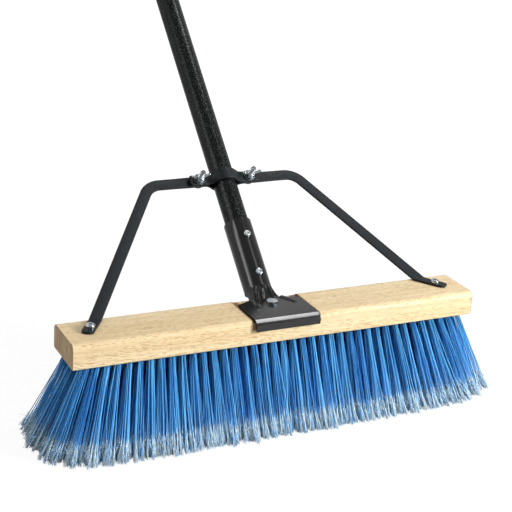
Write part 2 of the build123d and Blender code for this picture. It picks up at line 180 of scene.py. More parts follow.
hair_start, hair_lift, hair_lift_scatter, hair_scatter = (8.0, 21.0), 0.1, 0.5, 1.3
hair_radii, wild_share, wild_level, wild_scatter = (0.27, 0.22), 0.12, (2.0, 20.0), 3.0
backing_margin, backing_half_wide, backing_half_deep, backing_rise = 5.4, 4.9, 1.48, 1.5


def slim_tubes(centres, radii):
    """Three-sided tubes. Ring k of each is its centre k plus radius k times three spokes a third of a turn apart."""
    count, rings_each = centres.shape[:2]
    spoke = 2 * np.pi * np.arange(3) / 3
    spokes = np.stack([np.cos(spoke), np.sin(spoke), np.zeros(3)], axis=-1)
    points = centres[:, :, None, :] + np.asarray(radii)[..., None, None] * spokes
    side = np.arange(3)
    near = side + 3 * np.arange(rings_each - 1)[:, None]
    far = (side + 1) % 3 + 3 * np.arange(rings_each - 1)[:, None]
    walls = np.concatenate(
        [np.stack([near, near + 3, far + 3], axis=-1), np.stack([near, far + 3, far], axis=-1)]
    ).reshape(-1, 3)
    last = 3 * rings_each
    template = np.vstack([walls, [[0, 1, 2], [last - 3, last - 1, last - 2]]])
    faces = template + last * np.arange(count)[:, None, None]
    return points.reshape(-1, 3), faces.reshape(-1, 3)


def bristle_row(row):
    """The filaments of one row and their hairs: points, faces, and the shade and flag of each point.

    A filament starts in its tuft's hole and heads for tuft tip + spread * its place in the tuft, with a bow of
    4 t (1 - t) to one side. Its places fill a circle at the hole and a squarer form at the tip. Along the block the
    spread grows as t to the 1.3, so the tufts stay apart near the block. Its body ends a little above the floor. A
    hair runs straight from a place on the flagged stretch to its own scattered tip.
    """
    chance = np.random.default_rng(first_seed + row)
    count = tufts_in_long_row - row % 2
    tuft_x = (np.arange(count) - (count - 1) / 2) * tuft_pitch
    tuft_y = np.full(count, (row - 2) * row_pitch)
    share = np.abs(tuft_x) / end_tuft
    lean = (end_lean - corner_lean * (tuft_y / (2 * row_pitch)) ** 2) * share**3
    tip_x = tuft_x + np.sign(tuft_x) * lean + chance.normal(0, tuft_scatter_long, count)
    tip_y = tuft_y * (row_fan - corner_fan * share**12) + chance.normal(0, tuft_scatter_deep, count)
    number = np.arange(filament_count)
    turn = golden_turn * number + chance.uniform(0, 2 * np.pi, (count, 1))
    reach = np.sqrt((number + 0.5) / filament_count) * np.ones((count, 1))
    spread = chance.uniform(*tuft_spread, (count, 1))
    heading = np.stack([np.cos(turn), np.sin(turn)], axis=-1)
    at = reach[..., None] * heading
    each = at.shape[:2]
    stray = chance.uniform(size=each) < stray_share
    loose = np.where(stray, stray_scatter, 1.0)[..., None]
    hole = np.stack([tuft_x, tuft_y], axis=-1)[:, None]
    root = hole + at * (root_spread + end_root_spread * share**16)[:, None, None]
    fan = np.stack([tip_x, tip_y], axis=-1)[:, None] - hole
    square = at / np.linalg.norm(heading, ord=4, axis=-1, keepdims=True)
    tip_half = np.stack([tip_half_long * spread, tip_half_deep * spread], axis=-1)
    opened = square * tip_half + chance.normal(0, tip_scatter, at.shape) * loose
    bow = chance.normal(0, bow_scatter, at.shape) * loose
    top = block_bottom + root_depth

    def along(level):
        """Places of all filaments at a height above the floor."""
        level = np.broadcast_to(level, each)[..., None]
        t = 1 - level / top
        flat = root + fan * t + opened * np.concatenate([t**1.3, t], axis=-1) + bow * 4 * t * (1 - t)
        return np.concatenate([flat, level], axis=-1)

    flag_top = chance.normal(flag_height, flag_scatter, each)
    body_end = np.abs(chance.normal(0, body_scatter, each)) + body_lift
    levels = (top, upper_ring, lower_ring, flag_top, flag_top - flag_fade, body_end)
    rings_down = np.stack([along(level) for level in levels], axis=2)
    bodies, body_faces = slim_tubes(rings_down.reshape(-1, len(levels), 3), filament_radii)
    wide = (*each, hair_count)
    wild = chance.uniform(size=wide) < wild_share
    begin = np.stack([along(chance.uniform(*hair_start, each)) for _ in range(hair_count)], axis=2)
    wild_end = chance.uniform(*wild_level, wide)
    tame_end = np.abs(chance.normal(0, hair_lift_scatter, wide)) + hair_lift
    end = np.repeat(along(0.0)[:, :, None], hair_count, axis=2)
    end = end + chance.normal(0, 1, end.shape) * np.where(wild, wild_scatter, hair_scatter)[..., None]
    end[..., 2] = np.where(wild, wild_end, tame_end)
    wisps, wisp_faces = slim_tubes(np.stack([begin, end], axis=3).reshape(-1, 2, 3), hair_radii)
    tone = np.where(stray, stray_tone, chance.uniform(0, 1, each))
    hair_tone = chance.uniform(0, 1, tone.size * hair_count)
    shade = np.concatenate([np.repeat(tone.ravel(), 3 * len(levels)), np.repeat(hair_tone, 3 * len(hair_radii))])
    body_flag = np.tile(np.repeat(filament_flag, 3), tone.size)
    points = np.vstack([bodies, wisps])
    faces = np.vstack([body_faces, wisp_faces + len(bodies)])
    return points, faces, shade, np.concatenate([body_flag, np.ones(len(wisps))])


deep_blue, light_blue, streak_blue = paint(4, 104, 198), paint(108, 201, 255), paint(112, 197, 250)
hair_blue, hair_white = paint(112, 194, 255), paint(230, 248, 255)

bristle, place = finish("bristle")
tone = place.node("Attribute", {"attribute_name": "shade"}, output="Fac")
flag = place.node("Attribute", {"attribute_name": "flag"}, output="Fac")
streak = place.noise((700, 700, 25), 1.0)
blue = tone.blend(deep_blue, light_blue)
blue = (streak.step(0.45, 0.75) * 0.25).blend(blue, streak_blue)
pale = tone.step(0.02, 0.55).blend(hair_blue, hair_white)
place.surface(
    {
        "Base Color": flag.blend(blue, pale),
        "Roughness": flag * 0.20 + 0.42,
        "Specular IOR Level": 0.25,
    }
)

for row in range(5):
    name = f"bristle_row_{row + 1}"
    points, faces, shade, flagged = bristle_row(row)
    corner = np.array([(i, j, k) for i in (-1, 1) for j in (-1, 1) for k in (-1, 1)])
    backing_half = (end_tuft + backing_margin, backing_half_wide, backing_half_deep)
    backing = corner * backing_half + (0, (row - 2) * row_pitch, block_bottom + backing_rise)
    backing_faces = [(0, 1, 3, 2), (4, 6, 7, 5), (0, 4, 5, 1), (2, 3, 7, 6), (0, 2, 6, 4), (1, 5, 7, 3)]
    backing_faces = (np.array(backing_faces) + len(points)).tolist()
    mesh = bpy.data.meshes.new(name)
    mesh.from_pydata(np.vstack([points, backing]) / 1000, [], faces.tolist() + backing_faces)
    for label, values in (("shade", shade), ("flag", flagged)):
        values = np.append(values, np.zeros(len(backing)))
        mesh.attributes.new(label, "FLOAT", "POINT").data.foreach_set("value", values)
    mesh.materials.append(bristle)
    mesh.materials.append(beech)
    counts = (len(faces), len(backing_faces))
    mesh.polygons.foreach_set("material_index", np.repeat((0, 1), counts))
    mesh.polygons.foreach_set("use_smooth", np.repeat((True, False), counts))
    tufts = bpy.data.objects.new(f"tufts_{row + 1}", mesh)
    bpy.context.collection.objects.link(tufts)
    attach(tufts, "broom")
    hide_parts(name)


# Tuft staples: short lengths of flat steel wire, driven across the folded tufts at the bottom of their holes.
# They sit inside the block and can't be seen from outside.
wire_dark, wire_light = paint(150, 150, 146), paint(196, 196, 190)

staple_wire, place = finish("staple_wire")
drawn = place.noise((3000, 300, 300))
place.surface(
    {
        "Base Color": drawn.blend(wire_dark, wire_light),
        "Metallic": 1.0,
        "Roughness": drawn * 0.2 + 0.3,
    }
)
dress(staple_wire, "tuft_staples")


# Socket: pressed from one sheet of steel, black enamelled. A plate lies in the recess with a lip over the block's
# front edge, and a fluted neck rolls up from the plate into a round socket for the handle.
lean = np.radians(42.5)
up_handle = np.array([0, np.cos(lean), np.sin(lean)])
handle_front = np.array([0, -np.sin(lean), np.cos(lean)])
handle_foot = np.array([0, 38.5, 116.0])
to_right = np.array([1.0, 0, 0])
plate_half, plate_top, plate_rear, plate_wall = 36.5, 115.5, 19.0, 1.95
shoulder_start, shoulder_drop = 20.0, 6.5
bend_start, bend_reach, bend_over, bend_under, bend_tilt = -26.5, 5.3, 1.2, 1.6, np.radians(27)
lip_depth = 9.5
ribs = (((15.0, 22.0), (26.1, 2.7)), ((-13.5, 22.0), (-17.4, 2.4)))
rib_half, rib_height, rib_round, rib_limit = 3.2, 1.8, 3.0, -20.0
neck_wall, neck_station, neck_half, neck_wrap, neck_bow, neck_level = 1.9, 4.0, 22.0, 0.95, 4.5, 115.3
leave_pull, leave_ease, arrive_flare, arrive_pull, arrive_gain = 22.0, 6.0, 14.0, 9.0, 5.0
flute_depth, flute_rate, flute_span, flute_reach = 1.7, 15, 1.55, 1.05
socket_radius, socket_start, socket_end = 15.0, 1.5, 84.5
edge_ease = 0.0005


def on_handle(station, proud=0.0, side=0.0):
    """Point at a station up the handle's axis, standing proud of it to the front, and off to one side."""
    station, proud, side = np.broadcast_arrays(station, proud, side)
    spot = handle_foot + station[..., None] * up_handle
    return spot + proud[..., None] * handle_front + side[..., None] * to_right


def skin(name, *sheets, sharp=40):
    """One object from grids of points in millimetres, with a quad between each four neighbours.

    A sheet is (grid, closing): "tube" joins its last column to its first and caps both ends, "ring" joins its rows
    too, and "open" joins nothing.
    """
    points, faces = [], []
    start = 0
    for grid, closing in sheets:
        rows, columns = grid.shape[:2]
        index = start + np.arange(rows * columns).reshape(rows, columns)
        if closing != "open":
            index = np.hstack([index, index[:, :1]])
        if closing == "ring":
            index = np.vstack([index, index[:1]])
        quads = np.stack([index[:-1, :-1], index[:-1, 1:], index[1:, 1:], index[1:, :-1]], axis=-1)
        faces += quads.reshape(-1, 4).tolist()
        if closing == "tube":
            faces += [index[0, :-1].tolist(), index[-1, :-1].tolist()]
        points.append(grid.reshape(-1, 3))
        start += rows * columns
    mesh = bpy.data.meshes.new(name)
    mesh.from_pydata(np.vstack(points) / 1000, [], faces)
    if all(closing != "open" for _, closing in sheets):
        work = bmesh.new()
        work.from_mesh(mesh)
        bmesh.ops.recalc_face_normals(work, faces=work.faces)
        work.to_mesh(mesh)
        work.free()
    mesh.shade_smooth()
    mesh.set_sharp_from_angle(angle=np.radians(sharp))
    made = bpy.data.objects.new(name, mesh)
    bpy.context.collection.objects.link(made)
    return made


def place_piece(piece, material, body, slot, *replaced):
    """Gives a finished piece its material and its body, and hides the CAD nodes that it stands for; the slot is not
    used.
    """
    piece.data.materials.append(material)
    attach(piece, body)
    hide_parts(*replaced)


def plate_sheet():
    """Top of the plate: x across, and along it a flat run from the rear edge, a small bend down to a sloping face at
    the block's front edge, a second small bend, and the lip. The rear edge is cut back at its corners. A rib either
    side of the neck is a rounded ridge along the line from its start to its end."""
    rows_flat, columns = 80, 121
    over = np.linspace(0, bend_tilt, 7)[1:]
    under = np.linspace(bend_tilt, np.pi / 2, 9)
    face_run = bend_reach - bend_under * (1 - np.sin(bend_tilt)) - bend_over * np.sin(bend_tilt)
    face_low = bend_over * (1 - np.cos(bend_tilt)) + face_run * np.tan(bend_tilt)
    round_low = face_low + bend_under * (np.cos(bend_tilt) - np.cos(under))
    lip = np.linspace(round_low[-1], lip_depth, 8)[1:]
    ahead = np.concatenate(
        [bend_over * np.sin(over), bend_reach - bend_under * (1 - np.sin(under)), np.full(len(lip), bend_reach)]
    )
    down = np.concatenate([bend_over * (1 - np.cos(over)), round_low, lip])
    line = np.linspace(-plate_half, plate_half, columns)[None, :]
    across = line * np.ones((rows_flat + len(down), 1))
    past_shoulder = np.clip(np.abs(line) - shoulder_start, 0, None) / (plate_half - shoulder_start)
    rear = plate_rear - shoulder_drop * past_shoulder
    flat = np.linspace(0, 1, rows_flat)[:, None]
    run = rear * (1 - flat) + bend_start * flat
    ones = np.ones((1, columns))
    y_line = np.vstack([run, (bend_start - ahead)[:, None] * ones])
    z_line = np.vstack([plate_top * np.ones((rows_flat, columns)), (plate_top - down)[:, None] * ones])
    for start, end in ribs:
        length = np.hypot(end[0] - start[0], end[1] - start[1])
        run_x, run_y = (end[0] - start[0]) / length, (end[1] - start[1]) / length
        along = (across - start[0]) * run_x + (y_line - start[1]) * run_y
        off = (across - start[0]) * run_y - (y_line - start[1]) * run_x
        from_rib = np.hypot(np.clip(along - length + rib_round, 0, None), off) / rib_half
        ridge = rib_height * np.clip(1 - from_rib**2, 0, None) ** 1.5
        z_line = z_line + np.where(y_line > rib_limit, ridge, 0)
    return np.stack([across, y_line, z_line], axis=-1)


def neck_sheet():
    """Front of the neck: a half circle of the socket carried to a flat line on the plate. Each line of it is a cubic
    that leaves along the handle and arrives flat on the plate; flutes are a cosine across the front."""
    angle = np.radians(np.linspace(-90, 90, 91))[None, :]
    t = np.linspace(0, 1, 31)[:, None]
    top = on_handle(neck_station, socket_radius * np.cos(angle), socket_radius * np.sin(angle))
    foot_side, foot_y = neck_half * np.sin(angle * neck_wrap), plate_rear - neck_bow * np.cos(angle)
    foot = np.stack([foot_side, foot_y, np.full(angle.shape, neck_level)], axis=-1)
    leave = -up_handle * (leave_pull - leave_ease * np.cos(angle))[..., None]
    arrive_side, arrive_y = arrive_flare * np.sin(angle) ** 3, -arrive_pull - arrive_gain * np.cos(angle)
    arrive = np.stack([arrive_side, arrive_y, np.zeros(angle.shape)], axis=-1)
    s = t[..., None]
    line = (2 * s**3 - 3 * s**2 + 1) * top + (s**3 - 2 * s**2 + s) * leave
    line = line + (3 * s**2 - 2 * s**3) * foot + (s**3 - s**2) * arrive
    radial = np.sin(angle)[..., None] * to_right + np.cos(angle)[..., None] * handle_front
    out = radial * (1 - s) + np.array([0, 0, 1.0]) * s
    out = out / np.linalg.norm(out, axis=-1, keepdims=True)
    window = np.clip(np.cos(angle * flute_span), 0, None) ** 0.7
    window = window * np.sin(np.pi * np.clip(t * flute_reach, 0, 1)) ** 1.5
    return line + out * (flute_depth * np.cos(angle * flute_rate) * window)[..., None]


def socket_wall():
    """Round socket: its wall's outline, out, over the eased rim and back down the bore, turned round the handle.
    Its lower edge is at the neck in front and a little lower behind."""
    angle = np.radians(np.linspace(-180, 180, 97)[:-1])[None, :]
    behind = np.clip((np.abs(angle) - np.pi / 2) / 0.15, 0, 1)
    low = neck_station - (neck_station - socket_start) * behind
    height = np.array([0, 0.25, 0.5, 0.75, 0.99, 0.997, 1.0, 1.0, 1.0, 0.997, 0.99, 0.5, 0])[:, None]
    inset = np.array([0, 0, 0, 0, 0, 0.1, 0.4, 1.0, 1.5, 1.8, 1.9, 1.9, 1.9])[:, None]
    radius = socket_radius - inset
    return on_handle(low + (socket_end - low) * height, radius * np.cos(angle), radius * np.sin(angle))


enamel_dark, enamel_light = paint(15, 16, 17), paint(21, 22, 23)

socket_enamel, place = finish("socket_enamel")
cloud = place.noise((60, 60, 60), 3.0)
peel = place.noise((900, 900, 900), 1.0)
place.surface(
    {
        "Base Color": cloud.blend(enamel_dark, enamel_light),
        "Roughness": cloud * 0.06 + 0.15,
        "Normal": peel.relief(0.000003),
        "Specular IOR Level": 0.75,
    }
)
pressed = (("socket_plate", plate_sheet(), plate_wall), ("socket_neck", neck_sheet()[:, ::-1], neck_wall))
for name, sheet, wall in pressed:
    sheet_piece = skin(name, (sheet, "open"))
    thick = sheet_piece.modifiers.new("wall", "SOLIDIFY")
    thick.thickness = wall / 1000
    thick.offset = -1.0
    eased = sheet_piece.modifiers.new("edges", "BEVEL")
    eased.width = edge_ease
    eased.segments = 2
    eased.limit_method = "ANGLE"
    eased.angle_limit = np.radians(50)
    place_piece(sheet_piece, socket_enamel, "broom", "socket_enamel", "socket")
place_piece(skin("socket_tube", (socket_wall(), "ring")), socket_enamel, "broom", "socket_enamel", "socket")


# Lag bolt: a hex-headed wood screw, zinc plated, driven through the plate into the block behind the lip.
# All the bright fasteners have the same plating, cold bright with a soft bloom.
zinc_dark, zinc_light = paint(186, 195, 200), paint(226, 231, 233)
lag_back, hex_half, hex_turned = 7.0, 5.55, np.radians(21)
lag_radius = np.array([3.17, 3.17, 6.38, 6.38, 6.2, 5.9, 4.4, 3.6])[:, None]
lag_level = np.array([100.5, 115.5, 115.5, 119.7, 120.1, 120.3, 120.3, 120.15])[:, None]

zinc, place = finish("zinc")
bloom = place.noise((160, 160, 160), 3.0)
scuff = place.noise((1600, 1600, 1600), 1.0)
place.surface(
    {
        "Base Color": bloom.step(0.3, 0.7).blend(zinc_dark, zinc_light),
        "Metallic": 1.0,
        "Roughness": bloom * 0.16 + 0.16,
        "Normal": scuff.relief(0.00001),
    }
)
full_turn = np.radians(np.linspace(0, 360, 97)[:-1])[None, :]
hex_reach = hex_half / np.cos((full_turn - hex_turned) % (np.pi / 3) - np.pi / 6)
lag_reach = np.minimum(hex_reach, lag_radius)
lag_x, lag_y = lag_reach * np.cos(full_turn), lag_back + lag_reach * np.sin(full_turn)
lag_grid = np.stack([lag_x, lag_y, np.broadcast_to(lag_level, lag_reach.shape)], axis=-1)
place_piece(skin("lag_bolt", (lag_grid, "tube"), sharp=25), zinc, "broom", "zinc", "plate_lag_bolt")


# Handle: a steel tube with a black hammered coat, pushed into the socket down to the block.
# Its coat is full of small dimples that break up every reflection.
coat_black, speck_grey = paint(4, 5, 5), paint(68, 73, 75)
wall_station = np.array([6, 6, 120, 400, 800, 1200, 1529.6, 1530, 1530, 1529.6, 6])[:, None]
wall_radius = np.array([11.9, 12.9, 12.9, 12.9, 12.9, 12.9, 12.9, 12.6, 12.2, 11.9, 11.9])[:, None]

handle_coat, place = finish("handle_coat")
dimple = place.noise((420, 420, 300))
speck = place.noise((800, 800, 620), 1.0).step(0.58, 0.68)
place.surface(
    {
        "Base Color": speck.blend(coat_black, speck_grey),
        "Metallic": speck * 0.6,
        "Roughness": dimple * 0.10 + 0.20,
        "Normal": (dimple + speck * 0.3).relief(0.0003),
        "Specular IOR Level": 0.34,
    }
)
handle_wall = on_handle(wall_station, wall_radius * np.cos(full_turn), wall_radius * np.sin(full_turn))
place_piece(skin("handle", (handle_wall, "ring")), handle_coat, "broom", "handle_coat", "handle_tube")


# End cap: a moulded black plastic plug, flush inside the tube's upper end.
# It is a push fit and has a fine moulded grain.
plastic_dark, plastic_light = paint(24, 24, 25), paint(38, 38, 39)

cap_plastic, place = finish("cap_plastic")
grain = place.noise((1200, 1200, 1200))
place.surface(
    {
        "Base Color": grain.blend(plastic_dark, plastic_light),
        "Roughness": grain * 0.15 + 0.45,
        "Normal": grain.relief(0.00005),
    }
)
dress(cap_plastic, "handle_end_cap")


# Socket screws: two pan-head screws, zinc plated, through the front of the socket into the handle.
# They keep their CAD shape, with its cross slots.
dress(zinc, "socket_screws")


# Brace bow: one flat strip of black-coated steel. A saddle goes round the back of the handle, the arms bend edgewise
# and run down to the block, and each foot is folded flat and screwed down near the block's end.
strip_half_wide, strip_half_thick, strip_ease = 6.25, 1.25, 0.5
clamp_station, clamp_arch, clamp_bend, clamp_slope = 140.6, 14.35, 10.05, np.radians(42.0)
saddle_half, saddle_level, twist_end = 40.0, 1.85, 62.0
corner_reach, corner_round = 87.8, 22.0
foot_reach, foot_back, foot_level, fold_round = 189.6, 20.0, 117.25, 4.0
tab_length, tab_round = 32.5, 4.5
tab_to_tip = np.array([24.0, 18.0, 12.0, 8.0, 4.5, 3.2, 2.0, 1.1, 0.5, 0.15, 0.0])


def strip(middle, across, out, narrow):
    """A flat strip along a path: each section is middle + across * p + out * q, where p and q go round a rectangle
    with eased corners. Narrow is how far each section's edges are drawn in."""
    ease = np.radians(np.linspace(0, 90, 4))
    p = strip_half_wide - strip_ease + strip_ease * np.cos(ease)
    q = strip_half_thick - strip_ease + strip_ease * np.sin(ease)
    p, q = (np.concatenate(part) for part in ((p, -p[::-1], -p, p[::-1]), (q, q[::-1], -q, -q[::-1])))
    p = np.sign(p) * np.clip(np.abs(p) - narrow[:, None], 0.1, None)
    return middle[:, None] + across[:, None] * p[..., None] + out[:, None] * q[None, :, None]


def clamp_half(ear_end, ear_level, sign):
    """Half of a strip that grips the handle, from its middle outwards, as side, proud and the two parts of its face:
    an arc round the handle, a straight sloping leg, a bend the other way and a flat ear. Sign is 1 for the strap in
    front and -1 for the saddle behind."""
    corner = (clamp_arch - ear_level * np.cos(clamp_slope)) / np.sin(clamp_slope)
    flat_start = corner + clamp_bend * np.tan(clamp_slope / 2)
    arc = np.linspace(0, clamp_slope, 16)
    back = np.linspace(clamp_slope, 0, 12)
    flat = np.linspace(flat_start, ear_end, 7)[1:]
    side = np.concatenate([clamp_arch * np.sin(arc), flat_start - clamp_bend * np.sin(back), flat])
    bent = ear_level + clamp_bend * (1 - np.cos(back))
    proud = np.concatenate([clamp_arch * np.cos(arc), bent, np.full(len(flat), ear_level)])
    face = np.concatenate([arc, back, np.zeros(len(flat))])
    return side, sign * proud, np.sin(face), sign * np.cos(face)


def brace_half():
    """Middle, across, out and narrow of each section from the saddle's middle to the right foot's tip: the clamp, a
    twist into the slope of the arms, an edgewise bend, the fold at the foot and the tab with its rounded tip."""
    side, proud, face_side, face_proud = clamp_half(saddle_half, saddle_level, -1)
    clamp_middle = on_handle(clamp_station, proud, side)
    clamp_across = np.broadcast_to(up_handle, clamp_middle.shape)
    clamp_out = face_side[:, None] * to_right + face_proud[:, None] * handle_front
    clamp = on_handle(clamp_station, -saddle_level)
    slope = np.arctan2(clamp[2] - foot_level, clamp[1] - foot_back)
    length = np.hypot(clamp[2] - foot_level, clamp[1] - foot_back)
    up_slope = np.array([0, np.cos(slope), np.sin(slope)])
    face_up = np.array([0, np.sin(slope), -np.cos(slope)])
    arm = np.arctan2(foot_reach - corner_reach, length)
    bend = np.pi / 2 - arm
    ease = np.linspace(0, 1, 9)[1:]
    ease = (3 * ease**2 - 2 * ease**3)[:, None]
    twist_across = up_handle * (1 - ease) + up_slope * ease
    twist_out = -handle_front * (1 - ease) + face_up * ease
    twist_middle = clamp + np.linspace(saddle_half, twist_end, 9)[1:, None] * to_right
    turn = np.linspace(0, bend, 17)[:, None]
    bend_across = np.sin(turn) * to_right + np.cos(turn) * up_slope
    corner_start = corner_reach - corner_round * np.tan(bend / 2)
    bend_centre = np.array([corner_start, foot_back, foot_level]) + up_slope * (length - corner_round)
    bend_middle = bend_centre + corner_round * bend_across
    fold = np.linspace(0, slope, 9)[:, None]
    fold_out = np.sin(slope - fold) * np.array([0, 1.0, 0]) - np.cos(slope - fold) * np.array([0, 0, 1.0])
    fold_run = fold_round * np.tan(slope / 2)
    fold_centre = np.array([0, foot_back, foot_level]) + up_slope * fold_run - fold_round * face_up
    fold_side = foot_reach + fold_run * np.tan(arm) * np.linspace(-1, 1, 9)
    fold_middle = fold_centre + fold_round * fold_out + fold_side[:, None] * to_right
    fold_across = to_right / np.cos(arm) * np.ones((9, 1))
    tab_along = np.array([np.sin(arm), -np.cos(arm), 0])
    tab_across = np.array([np.cos(arm), np.sin(arm), 0])
    tab_middle = np.array([foot_reach, foot_back, foot_level]) + (tab_length - tab_to_tip)[:, None] * tab_along
    into_round = np.clip(tab_round - tab_to_tip, 0, None)
    tab_narrow = tab_round - np.sqrt(np.clip(tab_round**2 - into_round**2, 0, None))
    ones = np.ones((len(tab_to_tip), 1))
    middle = np.vstack([clamp_middle, twist_middle, bend_middle, fold_middle, tab_middle])
    across = np.vstack([clamp_across, twist_across, bend_across, fold_across, tab_across * ones])
    out = np.vstack([clamp_out, twist_out, face_up * np.ones((17, 1)), fold_out, np.array([0, 0, -1.0]) * ones])
    return middle, across, out, np.concatenate([np.zeros(len(middle) - len(tab_to_tip)), tab_narrow])


def both_sides(middle, across, out, narrow):
    """Mirrors a half strip in the plane of the handle and joins the two at its middle."""
    mirror = np.array([-1.0, 1, 1])
    whole = [np.vstack([part[:0:-1] * mirror, part]) for part in (middle, across, out)]
    return (*whole, np.concatenate([narrow[:0:-1], narrow]))


brace_dark, brace_light = paint(13, 18, 22), paint(19, 26, 31)

brace_coat, place = finish("brace_coat")
cloud = place.noise((45, 45, 45), 3.0)
peel = place.noise((800, 800, 800), 1.0)
place.surface(
    {
        "Base Color": cloud.blend(brace_dark, brace_light),
        "Roughness": cloud * 0.12 + 0.44,
        "Normal": peel.relief(0.000008),
        "Specular IOR Level": 0.36,
    }
)
bow = skin("brace", (strip(*both_sides(*brace_half())), "tube"))
place_piece(bow, brace_coat, "broom", "brace_coat", "brace_bow")


# Clamp strap: a short length of the same strip, arched over the front of the handle, with a flat ear for each bolt.
# The bolts pull it and the saddle together on the handle.
strap_half, strap_level, strap_round = 41.0, 2.25, 3.0
ear_to_end = np.array([3.0, 2.0, 1.1, 0.5, 0.15, 0.0])

side, proud, face_side, face_proud = (part[:-1] for part in clamp_half(strap_half, strap_level, 1))
ear_count = len(ear_to_end)
strap_side = np.append(side, strap_half - ear_to_end)
strap_middle = on_handle(clamp_station, np.append(proud, np.full(ear_count, strap_level)), strap_side)
strap_across = np.broadcast_to(up_handle, strap_middle.shape)
strap_out = np.append(face_side, np.zeros(ear_count))[:, None] * to_right
strap_out = strap_out + np.append(face_proud, np.ones(ear_count))[:, None] * handle_front
ear_narrow = strap_round - np.sqrt(strap_round**2 - (strap_round - ear_to_end) ** 2)
strap_narrow = np.append(np.zeros(len(side)), ear_narrow)
strap = skin("strap", (strip(*both_sides(strap_middle, strap_across, strap_out, strap_narrow)), "tube"))
place_piece(strap, brace_coat, "broom", "brace_coat", "clamp_strap")


# Clamp bolts: carriage bolts, zinc plated, put in from behind with their square necks in the bow's square holes.
# Their threaded ends stand out in front of the strap, and their cut tips are dull.
dull_dark, dull_light = paint(84, 90, 94), paint(116, 122, 126)
bolt_reach, bolt_seat, head_pole, head_radius, head_rim, head_rise = 30.3, -3.1, 0.1, 7.0, 0.4, 3.0
under_head, shank_radius, shank_end, thread_start, thread_length = 3.2, 3.12, 5.0, 5.2, 15.0
thread_pitch, thread_depth, run_in, run_out, tip_start, tip_slope = 1.27, 0.75, 0.5, 1.2, 13.2, 0.45
tip_radius = np.array([2.3, 2.4, 2.3, 1.2])[:, None]
tip_proud = np.array([19.6, 20.1, 20.25, 20.2])[:, None]

dull_zinc, place = finish("dull_zinc")
haze = place.noise((300, 300, 300))
place.surface(
    {
        "Base Color": haze.blend(dull_dark, dull_light),
        "Metallic": 1.0,
        "Roughness": haze * 0.2 + 0.3,
    }
)
bolt_turn = np.radians(np.linspace(0, 360, 33)[:-1])[None, :]
dome = np.radians(np.linspace(0, 90, 9))[:, None]
dome_radius = head_pole + (head_radius - head_pole) * np.sin(dome)
dome_proud = bolt_seat - head_rim - head_rise * np.cos(dome)
outline_radius = np.vstack([dome_radius, [[head_radius], [under_head], [shank_radius]]])
outline_proud = np.vstack([dome_proud, [[bolt_seat], [bolt_seat], [shank_end]]])
climb = np.linspace(0, thread_length, 140)[:, None]
crest = np.abs((climb / thread_pitch - bolt_turn / (2 * np.pi)) % 1.0 - 0.5) * 2
fade = np.clip((thread_length - climb) / run_out, 0, 1) * np.clip(climb / run_in, 0, 1)
thread_radius = shank_radius - tip_slope * np.clip(climb - tip_start, 0, None) - thread_depth * crest * fade


def on_bolt(radius, proud, side_sign):
    """Rings round a clamp bolt: so far from its axis, and so far up it from the handle's axis."""
    side = side_sign * bolt_reach + radius * np.sin(bolt_turn)
    return on_handle(clamp_station + radius * np.cos(bolt_turn), proud, side)


for side_sign, side_name in ((-1, "left"), (1, "right")):
    head_grid = on_bolt(outline_radius, outline_proud, side_sign)
    thread_grid = on_bolt(thread_radius, thread_start + climb, side_sign)
    bolt = skin(f"clamp_bolt_{side_name}.shape", (head_grid, "tube"), (thread_grid, "tube"))
    place_piece(bolt, zinc, "broom", "zinc", f"clamp_bolt_{side_name}")
    tip = skin(f"clamp_bolt_{side_name}.tip", (on_bolt(tip_radius, tip_proud, side_sign), "tube"))
    place_piece(tip, dull_zinc, "broom", "zinc", f"clamp_bolt_{side_name}")


# Washers: plain discs between the strap and the wing nuts, with the dull plating of stamped parts.
# They keep their CAD shape.
dress(dull_zinc, "wing_nut_washer_left", "wing_nut_washer_right")


# Wing nuts: zinc-plated pressings with two spread wings, run up the clamp bolts by hand.
# Each has a round hub with a bore and a thin wing on each side.
nut_seat, wing_slope = 4.7, np.radians(39.2)
wing_root, wing_reach, wing_root_rise, wing_rise = 2.6, 8.4, 2.2, 6.85
wing_straight, wing_round_start = 0.7, 0.8
root_half_deep, deep_gain, root_half_thin, thin_loss = 1.45, 0.85, 1.2, 0.2
hub_radius = np.array([3.2, 4.5, 4.8, 4.75, 4.3, 4.1, 3.8, 3.5, 3.2])[:, None]
hub_rise = np.array([0, 0, 0.3, 0.8, 4.0, 4.8, 5.0, 5.0, 4.6])[:, None]


def wing(direction):
    """One wing: a flat oval carried out and up from the hub along a straight line, widening to a rounded tip."""
    tip_steps = np.sin(np.radians(np.linspace(0, 90, 13)))[1:]
    t = np.append(np.linspace(0, wing_straight, 8), wing_straight + (1 - wing_straight) * tip_steps)[:, None]
    past = np.clip((t - wing_round_start) / (1 - wing_round_start), 0, 0.999)
    cap = (1 - past**2.5) ** 0.4
    half_deep = (root_half_deep + deep_gain * t) * cap
    half_thin = (root_half_thin - thin_loss * t) * cap**0.5
    angle = np.radians(np.linspace(0, 360, 25)[:-1])[None, :]
    deep = half_deep * np.sign(np.cos(angle)) * np.abs(np.cos(angle)) ** 0.7
    thin = half_thin * np.sign(np.sin(angle)) * np.abs(np.sin(angle)) ** 0.5
    reach = wing_root + wing_reach * t - deep * np.sin(wing_slope)
    rise = wing_root_rise + wing_rise * t + deep * np.cos(wing_slope)
    return direction * reach, rise, thin


def on_nut(reach, rise, thin, side_sign):
    """Point of a nut: out along its wings, up its bolt, and off to the wings' side."""
    return on_handle(clamp_station + thin, nut_seat + rise, side_sign * bolt_reach + reach)


